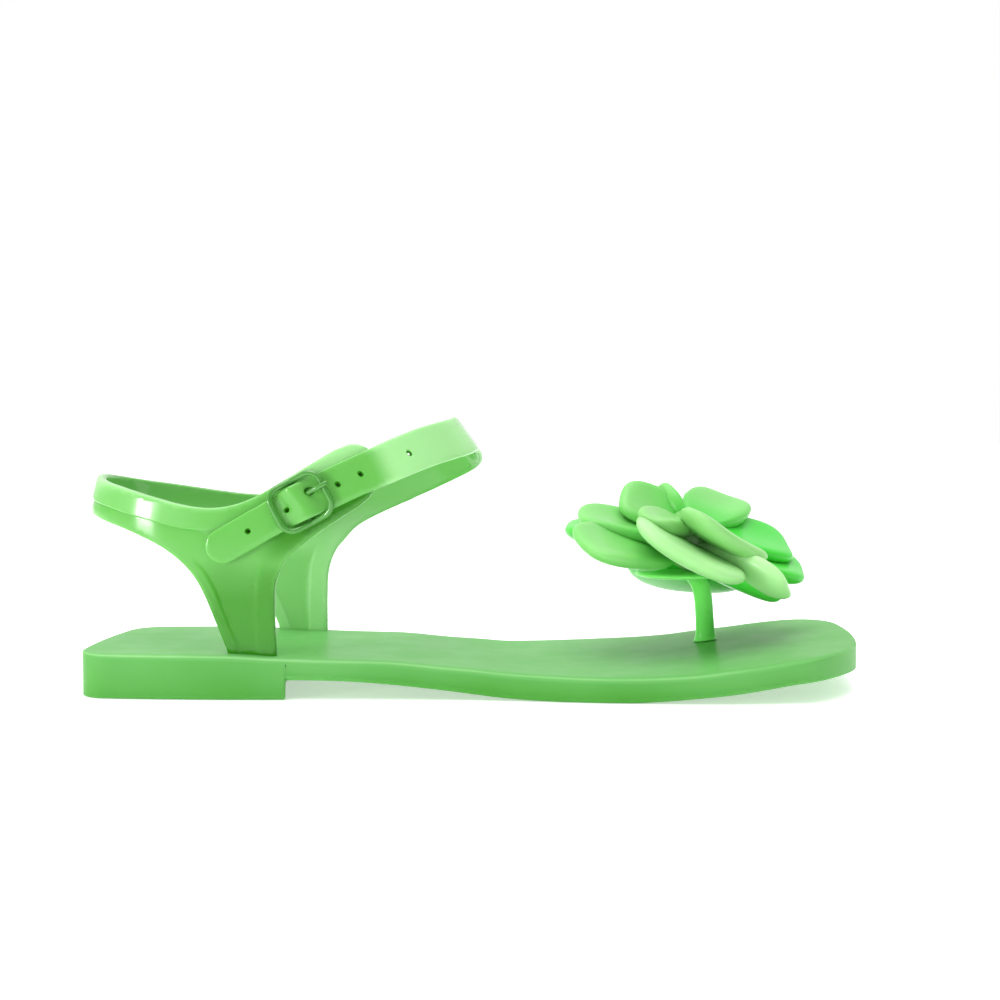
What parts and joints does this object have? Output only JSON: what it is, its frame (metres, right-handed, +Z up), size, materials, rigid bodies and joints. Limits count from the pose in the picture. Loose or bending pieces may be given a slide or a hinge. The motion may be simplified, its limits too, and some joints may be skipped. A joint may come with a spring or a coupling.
{
  "type": "jelly sandal",
  "caption": "Flat moulded jelly sandal with a toe post, a layered petal flower over the toes and a buckled ankle strap.",
  "frame": {"origin": "centre of the shoe's box on the floor under the sole", "axes": "+X to the toe, +Y to the inner side of the foot, +Z up; the buckle side is at -Y"},
  "size_m": [0.2542, 0.09, 0.0886],
  "materials": {
    "sole_jelly": "glossy moulded soft plastic",
    "harness_jelly": "glossy moulded soft plastic, slightly clear",
    "post_jelly": "glossy moulded soft plastic",
    "petal_jelly": "satin pale soft plastic",
    "buckle_jelly": "glossy hard plastic",
    "prong_jelly": "glossy hard plastic"
  },
  "bodies": {
    "root": {"sole": "sole_jelly", "upper": "harness_jelly", "toe_post": "post_jelly", "flower": "petal_jelly", "buckle_frame": "buckle_jelly", "buckle_prong": "prong_jelly"}
  },
  "joints": []
}
